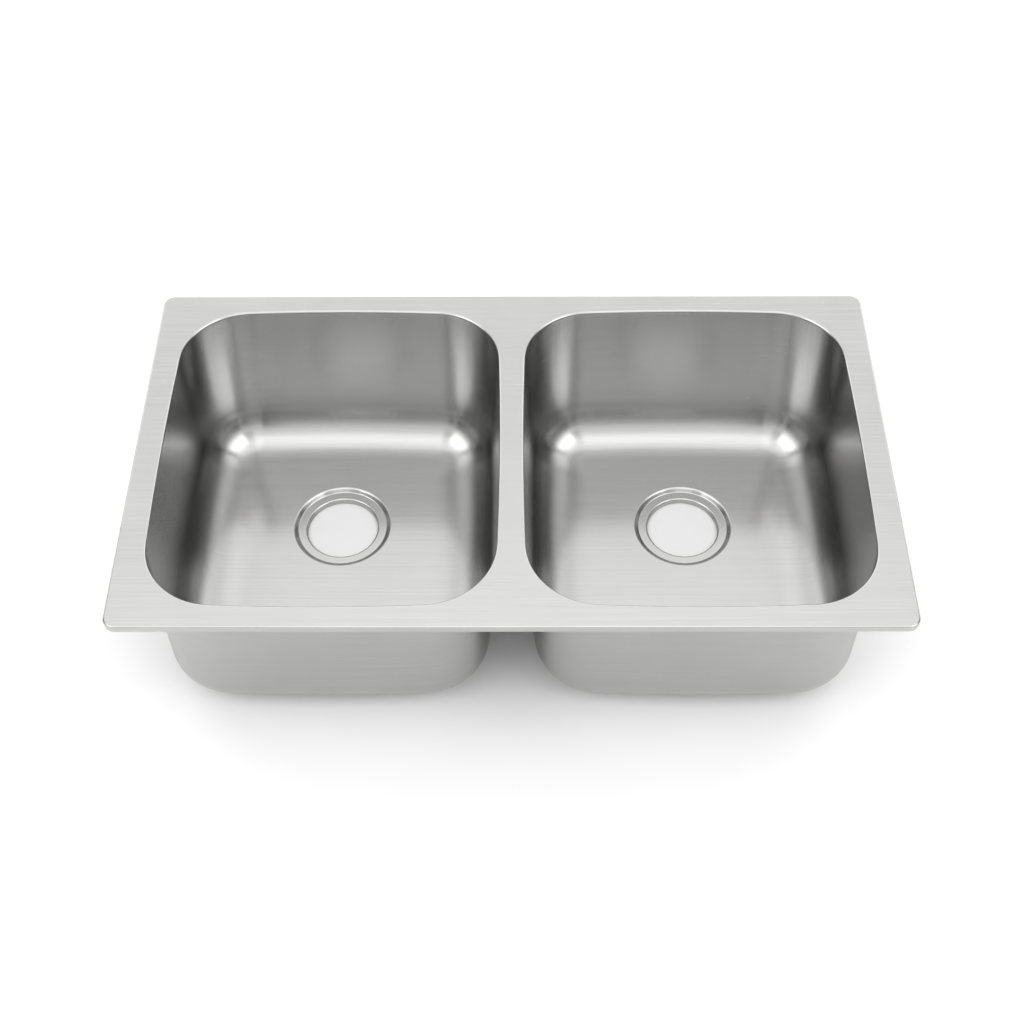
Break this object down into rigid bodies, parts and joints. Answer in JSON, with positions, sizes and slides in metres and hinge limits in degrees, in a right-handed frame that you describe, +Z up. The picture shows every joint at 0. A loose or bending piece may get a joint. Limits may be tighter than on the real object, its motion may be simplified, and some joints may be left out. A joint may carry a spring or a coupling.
{
  "type": "double bowl kitchen sink",
  "caption": "Top-mount kitchen sink in satin stainless steel: bowls side by side, folded rim, recessed drain seats, and fixing rails with swing-out claw clips below.",
  "frame": {"origin": "the middle of the deck in plan, at the height of the worktop's surface that the folded rim rests on", "axes": "+X to the right as the user stands, +Y to the rear edge, +Z up"},
  "size_m": [0.838, 0.474, 0.2265],
  "materials": {
    "satin_steel": "satin, finely brushed",
    "rail_steel": "mill finish",
    "zinc_hardware": "bright zinc plated",
    "foam_seal": "closed-cell foam",
    "pad_rubber": "matt rubber"
  },
  "bodies": {
    "sink": {"deck": "satin_steel", "rim_seal": "foam_seal", "left_bowl": "satin_steel", "right_bowl": "satin_steel", "front_rail": "rail_steel", "rear_rail": "rail_steel", "left_rail": "rail_steel", "right_rail": "rail_steel", "left_sound_pad": "pad_rubber", "right_sound_pad": "pad_rubber"},
    "front_left_clip_bolt": {"front_left_clip_bolt": "zinc_hardware"},
    "front_left_clip_washer": {"front_left_clip_washer": "zinc_hardware"},
    "front_left_clip_claw": {"front_left_clip_claw": "zinc_hardware"},
    "front_left_clip_nut": {"front_left_clip_nut": "zinc_hardware"},
    "front_middle_clip_bolt": {"front_middle_clip_bolt": "zinc_hardware"},
    "front_middle_clip_washer": {"front_middle_clip_washer": "zinc_hardware"},
    "front_middle_clip_claw": {"front_middle_clip_claw": "zinc_hardware"},
    "front_middle_clip_nut": {"front_middle_clip_nut": "zinc_hardware"},
    "front_right_clip_bolt": {"front_right_clip_bolt": "zinc_hardware"},
    "front_right_clip_washer": {"front_right_clip_washer": "zinc_hardware"},
    "front_right_clip_claw": {"front_right_clip_claw": "zinc_hardware"},
    "front_right_clip_nut": {"front_right_clip_nut": "zinc_hardware"},
    "rear_left_clip_bolt": {"rear_left_clip_bolt": "zinc_hardware"},
    "rear_left_clip_washer": {"rear_left_clip_washer": "zinc_hardware"},
    "rear_left_clip_claw": {"rear_left_clip_claw": "zinc_hardware"},
    "rear_left_clip_nut": {"rear_left_clip_nut": "zinc_hardware"},
    "rear_middle_clip_bolt": {"rear_middle_clip_bolt": "zinc_hardware"},
    "rear_middle_clip_washer": {"rear_middle_clip_washer": "zinc_hardware"},
    "rear_middle_clip_claw": {"rear_middle_clip_claw": "zinc_hardware"},
    "rear_middle_clip_nut": {"rear_middle_clip_nut": "zinc_hardware"},
    "rear_right_clip_bolt": {"rear_right_clip_bolt": "zinc_hardware"},
    "rear_right_clip_washer": {"rear_right_clip_washer": "zinc_hardware"},
    "rear_right_clip_claw": {"rear_right_clip_claw": "zinc_hardware"},
    "rear_right_clip_nut": {"rear_right_clip_nut": "zinc_hardware"},
    "left_side_clip_bolt": {"left_side_clip_bolt": "zinc_hardware"},
    "left_side_clip_washer": {"left_side_clip_washer": "zinc_hardware"},
    "left_side_clip_claw": {"left_side_clip_claw": "zinc_hardware"},
    "left_side_clip_nut": {"left_side_clip_nut": "zinc_hardware"},
    "right_side_clip_bolt": {"right_side_clip_bolt": "zinc_hardware"},
    "right_side_clip_washer": {"right_side_clip_washer": "zinc_hardware"},
    "right_side_clip_claw": {"right_side_clip_claw": "zinc_hardware"},
    "right_side_clip_nut": {"right_side_clip_nut": "zinc_hardware"}
  },
  "joints": [
    {"name": "front_left_clip_slide", "type": "slide", "parent": "sink", "child": "front_left_clip_bolt", "axis": [1, 0, 0], "range_m": [-0.09, 0.09]},
    {"name": "front_left_clip_lift", "type": "slide", "parent": "front_left_clip_bolt", "child": "front_left_clip_washer", "axis": [0, 0, 1], "range_m": [0, 0.01]},
    {"name": "front_left_clip_turn", "type": "hinge", "parent": "front_left_clip_washer", "child": "front_left_clip_nut", "pos_m": [-0.23, -0.21865, 0], "axis": [0, 0, 1], "range_deg": [0, 5143]},
    {"name": "front_left_clip_swing", "type": "hinge", "parent": "front_left_clip_washer", "child": "front_left_clip_claw", "pos_m": [-0.23, -0.21865, 0], "axis": [0, 0, -1], "range_deg": [0, 90]},
    {"name": "front_middle_clip_slide", "type": "slide", "parent": "sink", "child": "front_middle_clip_bolt", "axis": [1, 0, 0], "range_m": [-0.09, 0.09]},
    {"name": "front_middle_clip_lift", "type": "slide", "parent": "front_middle_clip_bolt", "child": "front_middle_clip_washer", "axis": [0, 0, 1], "range_m": [0, 0.01]},
    {"name": "front_middle_clip_turn", "type": "hinge", "parent": "front_middle_clip_washer", "child": "front_middle_clip_nut", "pos_m": [0, -0.21865, 0], "axis": [0, 0, 1], "range_deg": [0, 5143]},
    {"name": "front_middle_clip_swing", "type": "hinge", "parent": "front_middle_clip_washer", "child": "front_middle_clip_claw", "pos_m": [0, -0.21865, 0], "axis": [0, 0, -1], "range_deg": [0, 90]},
    {"name": "front_right_clip_slide", "type": "slide", "parent": "sink", "child": "front_right_clip_bolt", "axis": [1, 0, 0], "range_m": [-0.09, 0.09]},
    {"name": "front_right_clip_lift", "type": "slide", "parent": "front_right_clip_bolt", "child": "front_right_clip_washer", "axis": [0, 0, 1], "range_m": [0, 0.01]},
    {"name": "front_right_clip_turn", "type": "hinge", "parent": "front_right_clip_washer", "child": "front_right_clip_nut", "pos_m": [0.23, -0.21865, 0], "axis": [0, 0, 1], "range_deg": [0, 5143]},
    {"name": "front_right_clip_swing", "type": "hinge", "parent": "front_right_clip_washer", "child": "front_right_clip_claw", "pos_m": [0.23, -0.21865, 0], "axis": [0, 0, -1], "range_deg": [0, 90]},
    {"name": "rear_left_clip_slide", "type": "slide", "parent": "sink", "child": "rear_left_clip_bolt", "axis": [1, 0, 0], "range_m": [-0.09, 0.09]},
    {"name": "rear_left_clip_lift", "type": "slide", "parent": "rear_left_clip_bolt", "child": "rear_left_clip_washer", "axis": [0, 0, 1], "range_m": [0, 0.01]},
    {"name": "rear_left_clip_turn", "type": "hinge", "parent": "rear_left_clip_washer", "child": "rear_left_clip_nut", "pos_m": [-0.23, 0.21865, 0], "axis": [0, 0, 1], "range_deg": [0, 5143]},
    {"name": "rear_left_clip_swing", "type": "hinge", "parent": "rear_left_clip_washer", "child": "rear_left_clip_claw", "pos_m": [-0.23, 0.21865, 0], "axis": [0, 0, -1], "range_deg": [0, 90]},
    {"name": "rear_middle_clip_slide", "type": "slide", "parent": "sink", "child": "rear_middle_clip_bolt", "axis": [1, 0, 0], "range_m": [-0.09, 0.09]},
    {"name": "rear_middle_clip_lift", "type": "slide", "parent": "rear_middle_clip_bolt", "child": "rear_middle_clip_washer", "axis": [0, 0, 1], "range_m": [0, 0.01]},
    {"name": "rear_middle_clip_turn", "type": "hinge", "parent": "rear_middle_clip_washer", "child": "rear_middle_clip_nut", "pos_m": [0, 0.21865, 0], "axis": [0, 0, 1], "range_deg": [0, 5143]},
    {"name": "rear_middle_clip_swing", "type": "hinge", "parent": "rear_middle_clip_washer", "child": "rear_middle_clip_claw", "pos_m": [0, 0.21865, 0], "axis": [0, 0, -1], "range_deg": [0, 90]},
    {"name": "rear_right_clip_slide", "type": "slide", "parent": "sink", "child": "rear_right_clip_bolt", "axis": [1, 0, 0], "range_m": [-0.09, 0.09]},
    {"name": "rear_right_clip_lift", "type": "slide", "parent": "rear_right_clip_bolt", "child": "rear_right_clip_washer", "axis": [0, 0, 1], "range_m": [0, 0.01]},
    {"name": "rear_right_clip_turn", "type": "hinge", "parent": "rear_right_clip_washer", "child": "rear_right_clip_nut", "pos_m": [0.23, 0.21865, 0], "axis": [0, 0, 1], "range_deg": [0, 5143]},
    {"name": "rear_right_clip_swing", "type": "hinge", "parent": "rear_right_clip_washer", "child": "rear_right_clip_claw", "pos_m": [0.23, 0.21865, 0], "axis": [0, 0, -1], "range_deg": [0, 90]},
    {"name": "left_side_clip_slide", "type": "slide", "parent": "sink", "child": "left_side_clip_bolt", "axis": [0, 1, 0], "range_m": [-0.12, 0.12]},
    {"name": "left_side_clip_lift", "type": "slide", "parent": "left_side_clip_bolt", "child": "left_side_clip_washer", "axis": [0, 0, 1], "range_m": [0, 0.01]},
    {"name": "left_side_clip_turn", "type": "hinge", "parent": "left_side_clip_washer", "child": "left_side_clip_nut", "pos_m": [-0.3978, 0, 0], "axis": [0, 0, 1], "range_deg": [0, 5143]},
    {"name": "left_side_clip_swing", "type": "hinge", "parent": "left_side_clip_washer", "child": "left_side_clip_claw", "pos_m": [-0.3978, 0, 0], "axis": [0, 0, -1], "range_deg": [0, 90]},
    {"name": "right_side_clip_slide", "type": "slide", "parent": "sink", "child": "right_side_clip_bolt", "axis": [0, 1, 0], "range_m": [-0.12, 0.12]},
    {"name": "right_side_clip_lift", "type": "slide", "parent": "right_side_clip_bolt", "child": "right_side_clip_washer", "axis": [0, 0, 1], "range_m": [0, 0.01]},
    {"name": "right_side_clip_turn", "type": "hinge", "parent": "right_side_clip_washer", "child": "right_side_clip_nut", "pos_m": [0.3978, 0, 0], "axis": [0, 0, 1], "range_deg": [0, 5143]},
    {"name": "right_side_clip_swing", "type": "hinge", "parent": "right_side_clip_washer", "child": "right_side_clip_claw", "pos_m": [0.3978, 0, 0], "axis": [0, 0, -1], "range_deg": [0, 90]}
  ],
  "couplings": [
    {"joint": "front_left_clip_turn", "follows": "front_left_clip_lift", "rad_per_m": 8976},
    {"joint": "front_middle_clip_turn", "follows": "front_middle_clip_lift", "rad_per_m": 8976},
    {"joint": "front_right_clip_turn", "follows": "front_right_clip_lift", "rad_per_m": 8976},
    {"joint": "rear_left_clip_turn", "follows": "rear_left_clip_lift", "rad_per_m": 8976},
    {"joint": "rear_middle_clip_turn", "follows": "rear_middle_clip_lift", "rad_per_m": 8976},
    {"joint": "rear_right_clip_turn", "follows": "rear_right_clip_lift", "rad_per_m": 8976},
    {"joint": "left_side_clip_turn", "follows": "left_side_clip_lift", "rad_per_m": 8976},
    {"joint": "right_side_clip_turn", "follows": "right_side_clip_lift", "rad_per_m": 8976}
  ]
}
